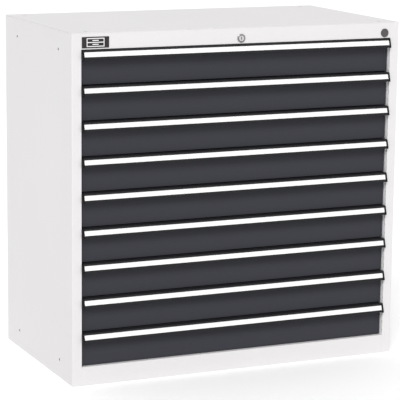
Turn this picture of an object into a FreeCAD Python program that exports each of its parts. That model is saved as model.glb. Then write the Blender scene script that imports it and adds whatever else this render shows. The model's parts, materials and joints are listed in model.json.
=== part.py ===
"""Sheet-steel workshop cabinet with nine equal drawers on telescopic roller slides.

Millimetres. X runs across the front (viewer's right is +X), Y runs back into the cabinet and Z is up.
The origin is on the floor, under the middle of the whole box, drawer handles included.
"""
import FreeCAD
import Part
import Sketcher
import os

SIZES = [
    ("cabinet_width", 1023),
    ("cabinet_depth", 572),
    ("cabinet_height", 1000),
    ("lip_proud", 11),
    ("sheet_steel", 1.5),
    ("bend_radius", 3),
    ("stile_width", 28),
    ("stile_return", 15),
    ("rear_flange", 20),
    ("rim_height", 22),
    ("top_rail_height", 46),
    ("rail_return", 24),
    ("plinth_height", 54),
    ("drawer_count", 9),
    ("drawer_pitch", 100),
    ("drawer_gap", 3),
    ("slot_pitch", 25),
    ("slot_height", 10),
    ("slot_width", 4),
    ("slot_setback", 4.5),
    ("slots_per_row", 36),
    ("first_slot_height", 62.5),
    ("top_hole_radius", 6),
    ("top_hole_inset_across", 51.5),
    ("top_hole_inset_deep", 31),
    ("side_hole_radius", 4),
    ("side_hole_spacing", 354),
    ("side_hole_height", 52.5),
    ("side_hole_rise", 893),
    ("upright_setback", 16),
    ("upright_width", 40),
    ("rear_upright_setback", 400),
    ("panel_recess", 12.5),
    ("panel_sheet", 1.2),
    ("panel_fold", 12),
    ("tray_width", 920),
    ("tray_depth", 461),
    ("tray_floor_height", 10),
    ("tray_wall_height", 76),
    ("tray_sheet", 1.2),
    ("slide_height", 46),
    ("channel_half_height", 18),
    ("channel_sheet", 1.5),
    ("channel_flange", 8),
    ("slide_length", 446),
    ("slide_setback", 4),
    ("middle_bar_inner", 470.5),
    ("middle_bar_sheet", 3),
    ("middle_bar_half_height", 12),
    ("roller_radius", 16),
    ("roller_gap", 0.4),
    ("roller_first", 20),
    ("roller_spacing", 180),
    ("middle_travel", 225),
    ("handle_top_depth", 15.5),
    ("handle_lip_depth", 23.5),
    ("handle_drop", 25.5),
    ("handle_wall", 2),
    ("handle_face_wall", 2.8),
    ("handle_leg", 17),
    ("label_top", 5),
    ("label_bottom", 20),
    ("label_recess", 1.2),
    ("cap_width", 3),
    ("cap_overhang", 2.2),
    ("cap_drop", 27.5),
    ("lock_height", 969),
    ("lock_flange_radius", 12.5),
    ("lock_body_radius", 11),
    ("lock_flange_sheet", 2),
    ("lock_body_length", 26),
    ("barrel_radius", 8),
    ("bore_gap", 0.05),
    ("barrel_length", 34),
    ("keyway_width", 2),
    ("keyway_span", 9),
    ("keyway_depth", 8),
    ("shaft_radius", 4),
    ("shaft_length", 496),
    ("crank_throw", 8.485),
    ("crank_half_height", 5),
    ("crank_sheet", 4),
    ("crank_pin_radius", 2.5),
    ("crank_pin_length", 11),
    ("crank_rest_angle", 45),
    ("bar_setback", 540),
    ("bar_width", 36),
    ("bar_sheet", 3),
    ("bar_foot", 30),
    ("bar_rise", 12),
    ("pin_slot_play", 0.5),
    ("pin_slot_end_play", 1),
    ("pin_slot_inner_edge", 2),
    ("finger_width", 20),
    ("finger_height", 37),
    ("hook_height", 15),
    ("catch_reach", 15),
    ("catch_gap", 1.5),
    ("catch_play", 1.2),
    ("catch_lip", 12),
    ("guide_height", 14),
    ("guide_gap", 1),
    ("guide_lug", 12),
    ("bearing_setback", 512),
    ("bearing_half_width", 20),
    ("bearing_drop", 44),
    ("plug_offset", 464),
    ("plug_head", 2.5),
    ("plug_bevel", 2),
    ("plug_body_length", 12),
    ("badge_left", 482),
    ("badge_width", 80),
    ("badge_foot", 957.5),
    ("badge_height", 31),
    ("badge_sheet", 1.2),
    ("badge_corner", 1.5),
    ("cut_margin", 1),
]
GUIDED_DRAWERS = (1, 5, 9)
SAME_PLACE = 0.01
SHORT_EDGE = 1
LEAST_CUT = 0.1

# places worked out from the driving sizes, as expressions on the sheet
FRONT = "(sizes.lip_proud - (sizes.cabinet_depth + sizes.lip_proud) / 2)"
BACK = "((sizes.cabinet_depth + sizes.lip_proud) / 2)"
HALF = "(sizes.cabinet_width / 2)"
SKIN = f"({HALF} - sizes.sheet_steel)"
OPENING = f"({HALF} - sizes.stile_width)"
ROOF = "(sizes.cabinet_height - sizes.sheet_steel)"
RAIL_FOOT = "(sizes.cabinet_height - sizes.top_rail_height)"
BACK_SHEET = f"({BACK} - 2 * sizes.sheet_steel)"
PANEL_FACE = f"({FRONT} + sizes.panel_recess)"
FOLD_END = f"({PANEL_FACE} + sizes.panel_fold)"
TRAY_FRONT = f"({PANEL_FACE} + sizes.panel_sheet)"
TRAY_BACK = f"({TRAY_FRONT} + sizes.tray_depth)"
TRAY_HALF = "(sizes.tray_width / 2)"
PANEL_HALF = f"({OPENING} - sizes.drawer_gap)"
PANEL_TOP = "(sizes.drawer_pitch - sizes.drawer_gap / 2)"
SLIDE_START = f"({FOLD_END} + sizes.slide_setback)"
CATCH_BACK = f"({TRAY_BACK} + sizes.catch_reach)"
BAR_FACE = f"({FRONT} + sizes.bar_setback)"

doc = FreeCAD.newDocument("workshop_cabinet")
sheet = doc.addObject("Spreadsheet::Sheet", "sizes")
nodes = {}


def fill_sheet():
    """Write every driving size as a plain number with an alias."""
    for row, (alias, size) in enumerate(SIZES, 1):
        sheet.set(f"A{row}", alias)
        sheet.set(f"B{row}", str(size))
        sheet.setAlias(f"B{row}", alias)
    doc.recompute()


def value(expression):
    """The number that an expression on the sheet stands for."""
    return float(sheet.evalExpression(str(expression)))


def new_body(name):
    """An empty PartDesign body with the node's name."""
    body = doc.addObject("PartDesign::Body", name)
    body.Label = name
    return body


def new_sketch(body, name, role, offset="0"):
    """A sketch on one of the body's own origin planes, moved along that plane's normal."""
    sketch = body.newObject("Sketcher::SketchObject", f"{body.Name}_{name}")
    plane = next(item for item in body.Origin.OriginFeatures if item.Role == role)
    sketch.AttachmentSupport = (plane, [""])
    sketch.MapMode = "FlatFace"
    sketch.setExpression("AttachmentOffset.Base.z", offset)
    return sketch


def pin_point(sketch, item, end, place):
    """Dimension one point of a sketch from the origin with two sheet expressions."""
    for kind, expression in zip(("DistanceX", "DistanceY"), place):
        index = sketch.addConstraint(Sketcher.Constraint(kind, -1, 1, item, end, value(expression)))
        sketch.setExpression(f"Constraints[{index}]", str(expression))


def add_outline(sketch, corners):
    """A closed outline of straight lines through corners given as pairs of expressions."""
    points = [FreeCAD.Vector(value(across), value(up), 0) for across, up in corners]
    first = sketch.GeometryCount
    count = len(points)
    for index in range(count):
        sketch.addGeometry(Part.LineSegment(points[index], points[(index + 1) % count]), False)
    for index in range(count):
        follower = first + (index + 1) % count
        sketch.addConstraint(Sketcher.Constraint("Coincident", first + index, 2, follower, 1))
    for index, corner in enumerate(corners):
        pin_point(sketch, first + index, 1, corner)


def add_rectangle(sketch, low, high):
    """A rectangle between two opposite corners given as pairs of expressions."""
    add_outline(sketch, [low, (high[0], low[1]), high, (low[0], high[1])])


def add_circle(sketch, centre, radius):
    """A circle whose centre and radius are expressions."""
    middle = FreeCAD.Vector(value(centre[0]), value(centre[1]), 0)
    item = sketch.addGeometry(Part.Circle(middle, FreeCAD.Vector(0, 0, 1), value(radius)), False)
    pin_point(sketch, item, 3, centre)
    index = sketch.addConstraint(Sketcher.Constraint("Radius", item, value(radius)))
    sketch.setExpression(f"Constraints[{index}]", str(radius))


def add_pad(body, name, sketch, length, symmetric=False, backwards=False):
    """Raise a sketch along its plane's normal, or evenly to both sides of it."""
    feature = body.newObject("PartDesign::Pad", f"{body.Name}_{name}")
    feature.Profile = sketch
    feature.setExpression("Length", str(length))
    feature.Reversed = backwards
    if symmetric:
        feature.SideType = "Symmetric"
    return feature


def add_pocket(body, name, sketch, length=None, symmetric=False, along_normal=False):
    """Cut a sketch into the body, and stop if the cut took nothing away."""
    doc.recompute()
    before = body.Shape.Volume
    feature = body.newObject("PartDesign::Pocket", f"{body.Name}_{name}")
    feature.Profile = sketch
    feature.Reversed = along_normal
    if length is None:
        feature.Type = "ThroughAll"
    else:
        feature.setExpression("Length", str(length))
    if symmetric:
        feature.SideType = "Symmetric"
    doc.recompute()
    if body.Shape.Volume > before - LEAST_CUT:
        raise RuntimeError(f"{feature.Name} cut nothing")
    return feature


def add_row(body, name, feature, sketch, length, count):
    """Repeat a feature up the sketch's vertical axis."""
    row = body.newObject("PartDesign::LinearPattern", f"{body.Name}_{name}")
    row.Originals = [feature]
    row.Direction = (sketch, ["V_Axis"])
    row.setExpression("Length", str(length))
    row.setExpression("Occurrences", str(count))
    body.Tip = row
    return row


def add_turned(body, name, outline):
    """Turn an outline of (radius, distance along Y) corners about the body's own Y axis."""
    sketch = new_sketch(body, f"{name}_section", "XY_Plane")
    add_outline(sketch, outline)
    feature = body.newObject("PartDesign::Revolution", f"{body.Name}_{name}")
    feature.Profile = sketch
    feature.ReferenceAxis = (sketch, ["V_Axis"])
    feature.Angle = 360
    return feature


def round_uprights(body, name, base, radius, corners):
    """Fillet the vertical edges that stand at the given plan corners."""
    doc.recompute()
    places = [(value(across), value(deep)) for across, deep in corners]
    edges = []
    for number, edge in enumerate(base.Shape.Edges, 1):
        middle = edge.CenterOfMass
        near = any(max(abs(middle.x - x), abs(middle.y - y)) < SAME_PLACE for x, y in places)
        if near and edge.BoundBox.ZLength > SHORT_EDGE:
            edges.append(f"Edge{number}")
    fillet = body.newObject("PartDesign::Fillet", f"{body.Name}_{name}")
    fillet.Base = (base, edges)
    fillet.setExpression("Radius", str(radius))
    return fillet


def place(piece, across="0", deep="0", up="0"):
    """Set a sub-part's place from sheet expressions."""
    piece.setExpression("Placement.Base.x", str(across))
    piece.setExpression("Placement.Base.y", str(deep))
    piece.setExpression("Placement.Base.z", str(up))


def keep(name, piece):
    """Name a finished sub-part, which is written to a file of that name."""
    piece.Label = name
    nodes[name] = piece


def gather(name, pieces):
    """One node of several separate solids."""
    group = doc.addObject("Part::Compound", name)
    group.Links = pieces
    keep(name, group)
    return group


def side_panel(name, side):
    """Side skin with its front stile and rear flange bent from one sheet, and a slotted strip behind the stile."""
    body = new_body(f"{name}_skin")
    plan = new_sketch(body, "plan", "XY_Plane")
    steel = "sizes.sheet_steel"
    inside_front = f"({FRONT} + {steel})"
    inside_back = f"({BACK} - {steel})"
    flange_end = f"({HALF} - sizes.rear_flange)"
    corners = [
        (OPENING, FRONT),
        (HALF, FRONT),
        (HALF, BACK),
        (flange_end, BACK),
        (flange_end, inside_back),
        (SKIN, inside_back),
        (SKIN, inside_front),
        (OPENING, inside_front),
    ]
    add_outline(plan, [(f"{side} * {across}", deep) for across, deep in corners])
    skin = add_pad(body, "skin", plan, ROOF)
    outer_bends = [(f"{side} * {HALF}", FRONT), (f"{side} * {HALF}", BACK)]
    round_uprights(body, "bends", skin, "sizes.bend_radius", outer_bends)
    holes = new_sketch(body, "hole_circles", "YZ_Plane")
    for deep in (-1, 1):
        for rise in (0, 1):
            centre = (
                f"(({FRONT} + {BACK}) / 2 + {deep} * sizes.side_hole_spacing / 2)",
                f"(sizes.side_hole_height + {rise} * sizes.side_hole_rise)",
            )
            add_circle(holes, centre, "sizes.side_hole_radius")
    add_pocket(body, "holes", holes, symmetric=True)
    strip = new_body(f"{name}_strip")
    edge = new_sketch(strip, "plan", "XY_Plane")
    return_end = f"({FRONT} + sizes.stile_return)"
    add_rectangle(edge, (f"{side} * {OPENING}", inside_front), (f"{side} * ({OPENING} + {steel})", return_end))
    add_pad(strip, "sheet", edge, ROOF)
    slot = new_sketch(strip, "slot_outline", "YZ_Plane", f"{side} * ({OPENING} - sizes.cut_margin)")
    middle = f"({FRONT} + sizes.slot_setback)"
    low = (f"({middle} - sizes.slot_width / 2)", "sizes.first_slot_height")
    high = (f"({middle} + sizes.slot_width / 2)", "(sizes.first_slot_height + sizes.slot_height)")
    add_rectangle(slot, low, high)
    cut = add_pocket(strip, "slot", slot, f"2 * {steel} + sizes.cut_margin", along_normal=side > 0)
    add_row(strip, "slots", cut, slot, "sizes.slot_pitch * (sizes.slots_per_row - 1)", "sizes.slots_per_row")
    gather(name, [body, strip])


def rim_outline(sketch):
    """U-shaped rim that runs along both sides and the back, inside the side and back sheets."""
    steel = "sizes.sheet_steel"
    front = f"({FRONT} + sizes.upright_setback)"
    corners = [
        (f"-{SKIN}", front),
        (f"-{SKIN}", BACK_SHEET),
        (SKIN, BACK_SHEET),
        (SKIN, front),
        (f"({SKIN} - {steel})", front),
        (f"({SKIN} - {steel})", f"({BACK_SHEET} - {steel})"),
        (f"-({SKIN} - {steel})", f"({BACK_SHEET} - {steel})"),
        (f"-({SKIN} - {steel})", front),
    ]
    add_outline(sketch, corners)


def top_panel():
    """Flat roof sheet with a rim folded down inside the walls and four worktop holes."""
    body = new_body("top_panel")
    plate = new_sketch(body, "plate", "XY_Plane", ROOF)
    add_rectangle(plate, (f"-{HALF}", FRONT), (HALF, BACK))
    roof = add_pad(body, "roof", plate, "sizes.sheet_steel")
    corners = [(f"{side} * {HALF}", deep) for side in (-1, 1) for deep in (FRONT, BACK)]
    round_uprights(body, "corners", roof, "sizes.bend_radius", corners)
    rim = new_sketch(body, "rim_outline", "XY_Plane", f"{ROOF} - sizes.rim_height")
    rim_outline(rim)
    add_pad(body, "rim", rim, "sizes.rim_height")
    holes = new_sketch(body, "hole_circles", "XY_Plane")
    for side in (-1, 1):
        across = f"{side} * ({HALF} - sizes.top_hole_inset_across)"
        add_circle(holes, (across, f"({FRONT} + sizes.top_hole_inset_deep)"), "sizes.top_hole_radius")
        add_circle(holes, (across, f"({BACK} - sizes.top_hole_inset_deep)"), "sizes.top_hole_radius")
    add_pocket(body, "holes", holes, symmetric=True)
    keep("top_panel", body)


def base_panel():
    """Floor sheet with a rim folded up inside the walls and a plinth folded up between the stiles."""
    body = new_body("base_panel")
    steel = "sizes.sheet_steel"
    section = new_sketch(body, "plinth_section", "YZ_Plane")
    fold = f"({FRONT} + sizes.rail_return)"
    corners = [
        (FRONT, "0"),
        (fold, "0"),
        (fold, steel),
        (f"({FRONT} + {steel})", steel),
        (f"({FRONT} + {steel})", f"(sizes.plinth_height - {steel})"),
        (fold, f"(sizes.plinth_height - {steel})"),
        (fold, "sizes.plinth_height"),
        (FRONT, "sizes.plinth_height"),
    ]
    add_outline(section, corners)
    add_pad(body, "plinth", section, f"2 * {OPENING}", symmetric=True)
    plate = new_sketch(body, "plate", "XY_Plane")
    add_rectangle(plate, (f"-{SKIN}", f"({FRONT} + sizes.upright_setback)"), (SKIN, BACK_SHEET))
    add_pad(body, "floor", plate, steel)
    rim = new_sketch(body, "rim_outline", "XY_Plane")
    rim_outline(rim)
    add_pad(body, "rim", rim, "sizes.rim_height")
    keep("base_panel", body)


def back_panel():
    """Flat rear sheet, spot-welded inside the rear flanges."""
    body = new_body("back_panel")
    plate = new_sketch(body, "plate", "XY_Plane")
    add_rectangle(plate, (f"-{SKIN}", BACK_SHEET), (SKIN, f"({BACK} - sizes.sheet_steel)"))
    add_pad(body, "sheet", plate, ROOF)
    keep("back_panel", body)


def front_top_rail():
    """Folded rail over the top drawer, with a hole for the lock and one for the blanking plug."""
    body = new_body("front_top_rail")
    steel = "sizes.sheet_steel"
    section = new_sketch(body, "section", "YZ_Plane")
    fold = f"({FRONT} + sizes.rail_return)"
    upper_fold = f"({FRONT} + sizes.stile_return)"
    corners = [
        (FRONT, RAIL_FOOT),
        (fold, RAIL_FOOT),
        (fold, f"({RAIL_FOOT} + {steel})"),
        (f"({FRONT} + {steel})", f"({RAIL_FOOT} + {steel})"),
        (f"({FRONT} + {steel})", f"({ROOF} - {steel})"),
        (upper_fold, f"({ROOF} - {steel})"),
        (upper_fold, ROOF),
        (FRONT, ROOF),
    ]
    add_outline(section, corners)
    add_pad(body, "rail", section, f"2 * {OPENING}", symmetric=True)
    holes = new_sketch(body, "hole_circles", "XZ_Plane")
    add_circle(holes, ("0", "sizes.lock_height"), "sizes.lock_body_radius + sizes.bore_gap")
    add_circle(holes, ("sizes.plug_offset", "sizes.lock_height"), "sizes.lock_body_radius + sizes.bore_gap")
    add_pocket(body, "holes", holes, symmetric=True)
    keep("front_top_rail", body)


def runner_uprights():
    """Four posts inside the walls, which carry the drawer rails: each a slotted strip on two spacer strips."""
    strips = new_body("upright_strips")
    spacers = new_body("upright_spacers")
    steel = "sizes.sheet_steel"
    strip_plan = new_sketch(strips, "plan", "XY_Plane", "sizes.rim_height")
    spacer_plan = new_sketch(spacers, "plan", "XY_Plane", "sizes.rim_height")
    web = new_sketch(strips, "slot_outline", "YZ_Plane")
    for setback in ("sizes.upright_setback", "sizes.rear_upright_setback"):
        near = f"({FRONT} + {setback})"
        far = f"({near} + sizes.upright_width)"
        for side in (-1, 1):
            face = f"{side} * {OPENING}"
            inner = f"{side} * ({OPENING} + {steel})"
            add_rectangle(strip_plan, (face, near), (inner, far))
            add_rectangle(spacer_plan, (inner, near), (f"{side} * {SKIN}", f"({near} + {steel})"))
            add_rectangle(spacer_plan, (inner, f"({far} - {steel})"), (f"{side} * {SKIN}", far))
        middle = f"({near} + sizes.upright_width / 2)"
        low = (f"({middle} - sizes.slot_height / 2)", "sizes.first_slot_height")
        high = (f"({middle} + sizes.slot_height / 2)", "(sizes.first_slot_height + sizes.slot_width)")
        add_rectangle(web, low, high)
    for body, plan in ((strips, strip_plan), (spacers, spacer_plan)):
        add_pad(body, "sheets", plan, f"{ROOF} - 2 * sizes.rim_height")
    cut = add_pocket(strips, "slot", web, symmetric=True)
    add_row(strips, "slots", cut, web, "sizes.slot_pitch * (sizes.slots_per_row - 1)", "sizes.slots_per_row")
    gather("runner_uprights", [strips, spacers])


def channel_outline(side, web, tip):
    """C-section of one slide: a web at one X and flanges that reach to another."""
    half = "sizes.channel_half_height"
    wall = "sizes.channel_sheet"
    inward = f"({web} - {wall})" if value(web) > value(tip) else f"({web} + {wall})"
    corners = [
        (web, f"(sizes.slide_height - {half})"),
        (tip, f"(sizes.slide_height - {half})"),
        (tip, f"(sizes.slide_height - {half} + {wall})"),
        (inward, f"(sizes.slide_height - {half} + {wall})"),
        (inward, f"(sizes.slide_height + {half} - {wall})"),
        (tip, f"(sizes.slide_height + {half} - {wall})"),
        (tip, f"(sizes.slide_height + {half})"),
        (web, f"(sizes.slide_height + {half})"),
    ]
    return [(f"{side} * {across}", up) for across, up in corners]


def cabinet_rail(number, side):
    """Fixed outer member of one drawer slide, hung on the uprights."""
    body = new_body(f"rail_{number}_{'left' if side < 0 else 'right'}")
    section = new_sketch(body, "section", "XZ_Plane", f"-{SLIDE_START}")
    tip = f"({OPENING} - sizes.channel_flange)"
    add_outline(section, channel_outline(side, OPENING, tip))
    add_pad(body, "channel", section, "sizes.slide_length", backwards=True)
    place(body, up=slot_foot(number))
    return body


def slot_foot(number):
    """Height of the bottom of one drawer's slot, counted from the lowest drawer."""
    return f"(sizes.plinth_height + {number - 1} * sizes.drawer_pitch)"


def drawer_tray(number):
    """Drawer body: a folded tray, its two slide channels and the catch that the locking bar holds."""
    floor = "sizes.tray_floor_height"
    wall = "sizes.tray_sheet"
    shell = new_body(f"tray_{number}_shell")
    outer = new_sketch(shell, "outer", "XY_Plane", floor)
    add_rectangle(outer, (f"-{TRAY_HALF}", TRAY_FRONT), (TRAY_HALF, TRAY_BACK))
    add_pad(shell, "block", outer, "sizes.tray_wall_height")
    inner = new_sketch(shell, "inner", "XY_Plane", f"{floor} + {wall}")
    low = (f"-({TRAY_HALF} - {wall})", f"({TRAY_FRONT} + {wall})")
    high = (f"({TRAY_HALF} - {wall})", f"({TRAY_BACK} - {wall})")
    add_rectangle(inner, low, high)
    add_pocket(shell, "hollow", inner, "sizes.tray_wall_height", along_normal=True)
    slides = new_body(f"tray_{number}_slides")
    section = new_sketch(slides, "section", "XZ_Plane", f"-{SLIDE_START}")
    for side in (-1, 1):
        add_outline(section, channel_outline(side, TRAY_HALF, f"({TRAY_HALF} + sizes.channel_flange)"))
    add_pad(slides, "channels", section, "sizes.slide_length", backwards=True)
    catch = new_body(f"tray_{number}_catch")
    profile = new_sketch(catch, "profile", "YZ_Plane")
    lip = "(sizes.finger_height + sizes.hook_height + sizes.catch_gap)"
    top = f"({lip} + sizes.catch_lip + 2 * {wall})"
    corners = [
        (TRAY_BACK, f"({top} - 2 * {wall})"),
        (f"({CATCH_BACK} - 2 * {wall})", f"({top} - 2 * {wall})"),
        (f"({CATCH_BACK} - 2 * {wall})", lip),
        (CATCH_BACK, lip),
        (CATCH_BACK, top),
        (TRAY_BACK, top),
    ]
    add_outline(profile, corners)
    add_pad(catch, "hook", profile, "sizes.finger_width", symmetric=True)
    group = gather(f"drawer_{number}_tray", [shell, slides, catch])
    place(group, up=slot_foot(number))


def drawer_front(number):
    """Pressed front: a face sheet with its four edges folded back."""
    body = new_body(f"drawer_{number}_front")
    outer = new_sketch(body, "outer", "XZ_Plane", f"-{FOLD_END}")
    foot = "(sizes.drawer_gap / 2)"
    add_rectangle(outer, (f"-{PANEL_HALF}", foot), (PANEL_HALF, PANEL_TOP))
    add_pad(body, "block", outer, "sizes.panel_fold")
    inner = new_sketch(body, "inner", "XZ_Plane", f"-{FOLD_END}")
    wall = "sizes.panel_sheet"
    low = (f"-({PANEL_HALF} - {wall})", f"({foot} + {wall})")
    high = (f"({PANEL_HALF} - {wall})", f"({PANEL_TOP} - {wall})")
    add_rectangle(inner, low, high)
    add_pocket(body, "hollow", inner, f"sizes.panel_fold - {wall}", along_normal=True)
    place(body, up=slot_foot(number))
    keep(f"drawer_{number}_front", body)


def handle_point(forward, down):
    """A handle section point, from its distance in front of the panel and below the panel's top."""
    return (f"({PANEL_FACE} - ({forward}))", f"({PANEL_TOP} - ({down}))")


def handle_slope(down, inset="0"):
    """How far the handle's slanting face stands in front of the panel at a distance below its top."""
    lean = "(sizes.handle_lip_depth - sizes.handle_top_depth) / sizes.handle_drop"
    return f"sizes.handle_top_depth + ({down}) * {lean} - ({inset})"


def drawer_handle(number):
    """Full-width grip profile: a top web, a slanting face with a label channel and a lower lip."""
    body = new_body(f"drawer_{number}_handle")
    section = new_sketch(body, "section", "YZ_Plane")
    wall = "sizes.handle_wall"
    recess = "sizes.label_recess"
    corners = [
        handle_point("0", "0"),
        handle_point("sizes.handle_top_depth", "0"),
        handle_point(handle_slope("sizes.label_top"), "sizes.label_top"),
        handle_point(handle_slope("sizes.label_top", recess), "sizes.label_top"),
        handle_point(handle_slope("sizes.label_bottom", recess), "sizes.label_bottom"),
        handle_point(handle_slope("sizes.label_bottom"), "sizes.label_bottom"),
        handle_point("sizes.handle_lip_depth", "sizes.handle_drop"),
        handle_point(f"sizes.handle_lip_depth - 2 * {wall}", f"sizes.handle_drop + {wall} / 2"),
        handle_point(handle_slope(wall, "sizes.handle_face_wall"), wall),
        handle_point(wall, wall),
        handle_point(wall, "sizes.handle_leg"),
        handle_point("0", "sizes.handle_leg"),
    ]
    add_outline(section, corners)
    add_pad(body, "profile", section, f"2 * ({PANEL_HALF} - sizes.cap_width)", symmetric=True)
    place(body, up=slot_foot(number))
    keep(f"drawer_{number}_handle", body)


def drawer_end_caps(number):
    """Two moulded caps that close the ends of the handle profile and nearly fill the opening."""
    body = new_body(f"drawer_{number}_end_caps")
    section = new_sketch(body, "section", "YZ_Plane")
    corners = [
        handle_point("0", "0"),
        handle_point("sizes.handle_top_depth", "0"),
        handle_point("sizes.handle_lip_depth", "sizes.handle_drop"),
        handle_point("sizes.handle_lip_depth - sizes.handle_wall", "sizes.cap_drop"),
        handle_point("0", "sizes.cap_drop"),
    ]
    add_outline(section, corners)
    add_pad(body, "bar", section, f"2 * ({PANEL_HALF} + sizes.cap_overhang)", symmetric=True)
    middle = new_sketch(body, "middle", "XY_Plane")
    inner = f"({PANEL_HALF} - sizes.cap_width)"
    add_rectangle(middle, (f"-{inner}", f"({FRONT} - 2 * sizes.lip_proud)"), (inner, FOLD_END))
    add_pocket(body, "gap", middle, symmetric=True)
    place(body, up=slot_foot(number))
    keep(f"drawer_{number}_end_caps", body)


def pair_of_discs(name, outer, inner, places):
    """Rollers on both sides of the drawer, between two distances from the middle."""
    body = new_body(name)
    for feature, reach in (("bars", outer), ("gap", inner)):
        circles = new_sketch(body, f"{feature}_circles", "YZ_Plane")
        radius = "sizes.roller_radius" if feature == "bars" else "sizes.roller_radius + sizes.cut_margin"
        for deep in places:
            add_circle(circles, (deep, "sizes.slide_height"), radius)
        if feature == "bars":
            add_pad(body, feature, circles, f"2 * {reach}", symmetric=True)
        else:
            add_pocket(body, feature, circles, f"2 * {reach}", symmetric=True)
    return body


def mid_slides(number):
    """Left and right middle members: a flat bar with two rollers on each face."""
    near = "sizes.middle_bar_inner"
    far = "(sizes.middle_bar_inner + sizes.middle_bar_sheet)"
    bars = new_body(f"slide_{number}_bars")
    half = "sizes.middle_bar_half_height"
    section = new_sketch(bars, "section", "XZ_Plane", f"-{SLIDE_START}")
    for side in (-1, 1):
        low = (f"{side} * {near}", f"(sizes.slide_height - {half})")
        high = (f"{side} * {far}", f"(sizes.slide_height + {half})")
        add_rectangle(section, low, high)
    add_pad(bars, "strips", section, "sizes.slide_length", backwards=True)
    first = f"({SLIDE_START} + sizes.roller_first)"
    inner_places = [first, f"({first} + sizes.roller_spacing)"]
    outer_places = [f"({deep} + sizes.middle_travel)" for deep in inner_places]
    web_face = f"({TRAY_HALF} + sizes.channel_sheet + sizes.roller_gap)"
    rail_face = f"({OPENING} - sizes.channel_sheet - sizes.roller_gap)"
    inner = pair_of_discs(f"slide_{number}_inner_rollers", near, web_face, inner_places)
    outer = pair_of_discs(f"slide_{number}_outer_rollers", rail_face, far, outer_places)
    group = gather(f"drawer_{number}_mid_slides", [bars, inner, outer])
    place(group, up=slot_foot(number))


def lock_housing():
    """Cylinder lock body with its round flange, bored for the barrel."""
    body = new_body("lock_housing")
    bore = "(sizes.barrel_radius + sizes.bore_gap)"
    corners = [
        (bore, "-sizes.lock_flange_sheet"),
        ("sizes.lock_flange_radius", "-sizes.lock_flange_sheet"),
        ("sizes.lock_flange_radius", "0"),
        ("sizes.lock_body_radius", "0"),
        ("sizes.lock_body_radius", "sizes.lock_body_length"),
        (bore, "sizes.lock_body_length"),
    ]
    add_turned(body, "body", corners)
    place(body, deep=FRONT, up="sizes.lock_height")
    keep("lock_housing", body)


def lock_barrel():
    """Turning barrel with its keyway."""
    body = new_body("lock_barrel")
    face = new_sketch(body, "face", "XZ_Plane", "sizes.lock_flange_sheet")
    add_circle(face, ("0", "0"), "sizes.barrel_radius")
    add_pad(body, "plug", face, "sizes.barrel_length", backwards=True)
    keyway = new_sketch(body, "keyway", "XZ_Plane", "sizes.lock_flange_sheet")
    low = ("-sizes.keyway_width / 2", "-sizes.keyway_span / 2")
    high = ("sizes.keyway_width / 2", "sizes.keyway_span / 2")
    add_rectangle(keyway, low, high)
    add_pocket(body, "key_slot", keyway, "sizes.keyway_depth")
    place(body, deep=FRONT, up="sizes.lock_height")
    keep("lock_barrel", body)


def lock_shaft():
    """Long shaft behind the barrel, with a crank and pin at its rear end."""
    body = new_body("lock_shaft")
    round_face = new_sketch(body, "shaft_circle", "XZ_Plane")
    add_circle(round_face, ("0", "0"), "sizes.shaft_radius")
    add_pad(body, "shaft", round_face, "sizes.shaft_length", backwards=True)
    arm = new_sketch(body, "arm_outline", "XZ_Plane", "-sizes.shaft_length")
    low = ("-(sizes.crank_throw + sizes.shaft_radius)", "-sizes.crank_half_height")
    high = ("sizes.crank_half_height", "sizes.crank_half_height")
    add_rectangle(arm, low, high)
    add_pad(body, "arm", arm, "sizes.crank_sheet", backwards=True)
    pin = new_sketch(body, "pin_circle", "XZ_Plane", "-(sizes.shaft_length + sizes.crank_sheet)")
    add_circle(pin, ("-sizes.crank_throw", "0"), "sizes.crank_pin_radius")
    add_pad(body, "pin", pin, "sizes.crank_pin_length", backwards=True)
    start = f"({FRONT} + sizes.barrel_length - sizes.lock_flange_sheet)"
    place(body, deep=start, up="sizes.lock_height")
    body.Placement.Rotation = FreeCAD.Rotation(FreeCAD.Vector(0, -1, 0), value("sizes.crank_rest_angle"))
    keep("lock_shaft", body)


def locking_bar():
    """Upright bar behind the drawers: a strip with a slot for the crank pin, and a hook for each drawer."""
    strip = new_body("bar_strip")
    outline = new_sketch(strip, "outline", "XZ_Plane", f"-{BAR_FACE}")
    half = "(sizes.bar_width / 2)"
    top = "(sizes.lock_height + sizes.crank_throw)"
    add_rectangle(outline, (f"-{half}", "sizes.bar_foot"), (half, top))
    add_pad(strip, "sheet", outline, "sizes.bar_sheet", backwards=True)
    slot = new_sketch(strip, "pin_slot", "XZ_Plane")
    swing = "(sizes.crank_throw + sizes.crank_pin_radius + sizes.pin_slot_end_play)"
    drop = "(sizes.lock_height - sizes.bar_rise / 2)"
    play = "(sizes.crank_pin_radius + sizes.pin_slot_play)"
    low = (f"-{swing}", f"({drop} - {play})")
    high = ("-sizes.pin_slot_inner_edge", f"({drop} + {play})")
    add_rectangle(slot, low, high)
    add_pocket(strip, "slot", slot, symmetric=True)
    hooks = new_body("bar_hooks")
    profile = new_sketch(hooks, "profile", "YZ_Plane")
    foot = "(sizes.plinth_height + sizes.finger_height)"
    steel = "sizes.bar_sheet"
    tip = f"({CATCH_BACK} - 2 * sizes.tray_sheet - sizes.catch_play - {steel})"
    corners = [
        (BAR_FACE, foot),
        (tip, foot),
        (tip, f"({foot} + sizes.hook_height)"),
        (f"({tip} + {steel})", f"({foot} + sizes.hook_height)"),
        (f"({tip} + {steel})", f"({foot} + {steel})"),
        (BAR_FACE, f"({foot} + {steel})"),
    ]
    add_outline(profile, corners)
    hook = add_pad(hooks, "hook", profile, "sizes.finger_width", symmetric=True)
    length = "sizes.drawer_pitch * (sizes.drawer_count - 1)"
    add_row(hooks, "row", hook, profile, length, "sizes.drawer_count")
    gather("locking_bar", [strip, hooks])


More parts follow.
